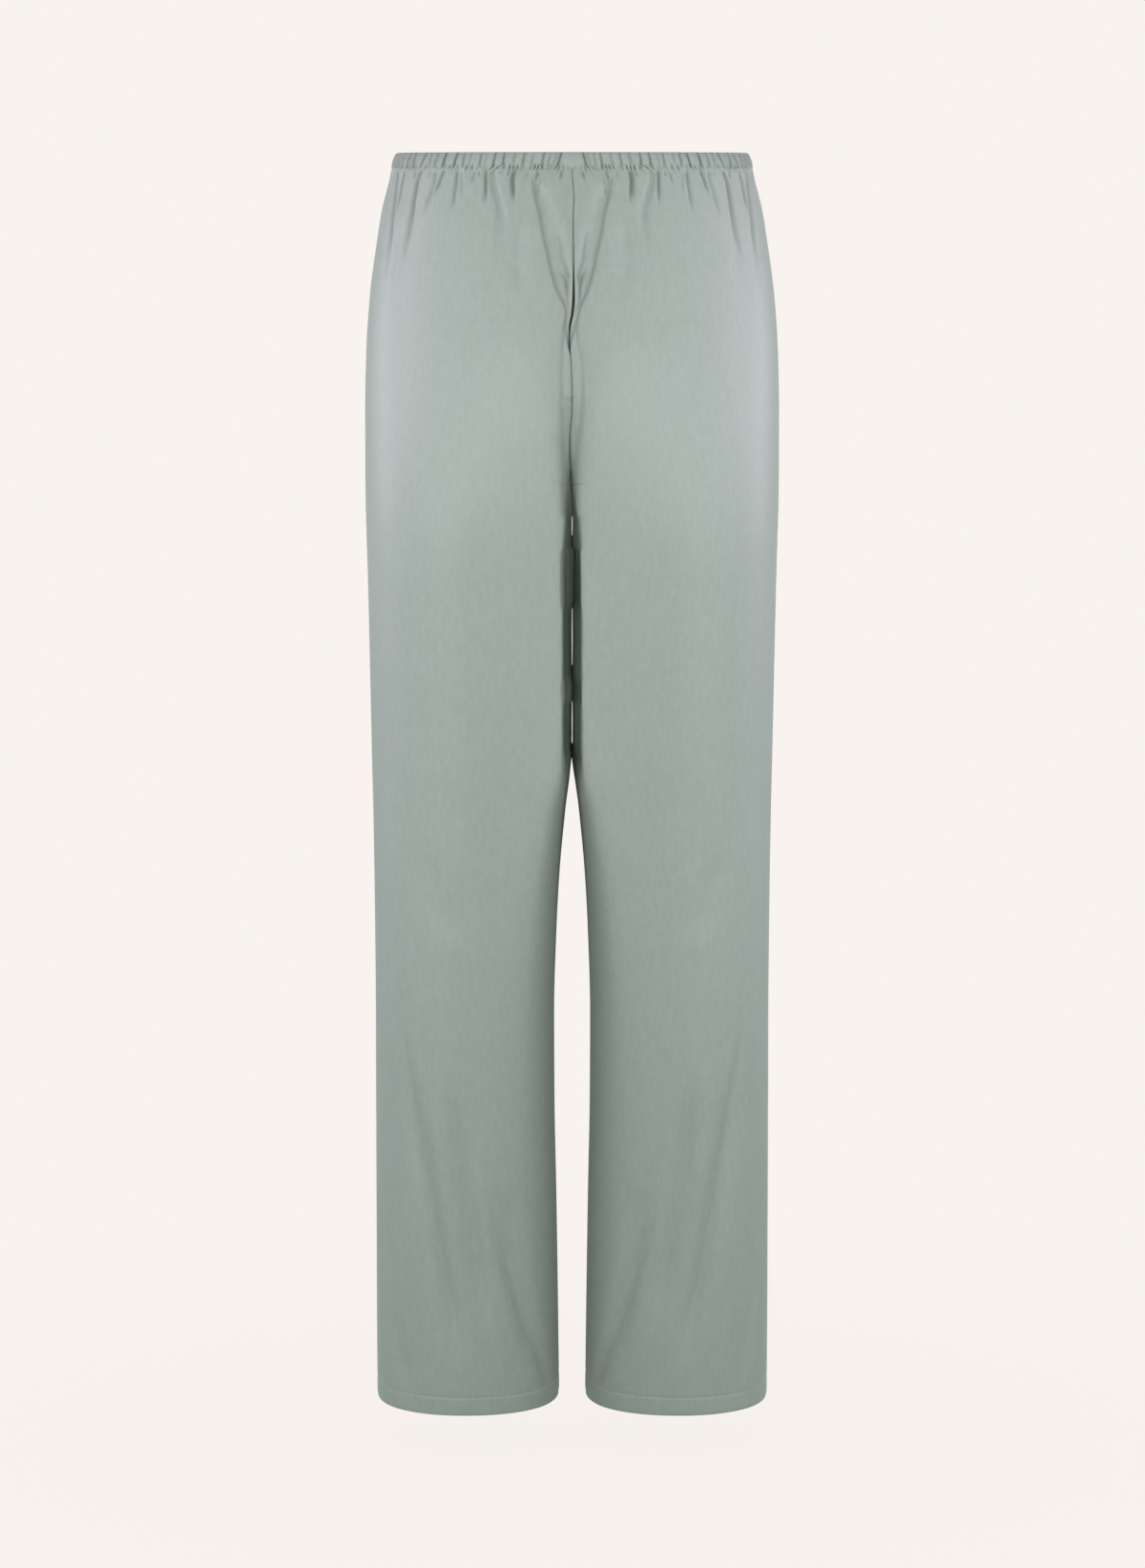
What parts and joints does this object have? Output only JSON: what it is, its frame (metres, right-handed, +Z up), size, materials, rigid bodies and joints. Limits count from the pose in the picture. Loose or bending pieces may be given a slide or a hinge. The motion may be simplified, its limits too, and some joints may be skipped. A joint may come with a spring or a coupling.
{
  "type": "satin trousers",
  "caption": "Straight-leg pull-on trousers in satin, worn hollow form, with a gathered elastic waist casing and plain turned-up hems.",
  "frame": {"origin": "middle of the waist opening, at mid height of the elastic casing", "axes": "+Z up out of the waist, -Y towards the back of the trousers, +X towards the wearer's right"},
  "size_m": [0.3442, 0.2377, 1.0463],
  "materials": {
    "satin": "sage grey-green satin, soft broad sheen outside, duller inside"
  },
  "bodies": {
    "root": {"waist_casing": "satin", "back_left": "satin", "back_right": "satin", "front_left": "satin", "front_right": "satin"}
  },
  "joints": []
}
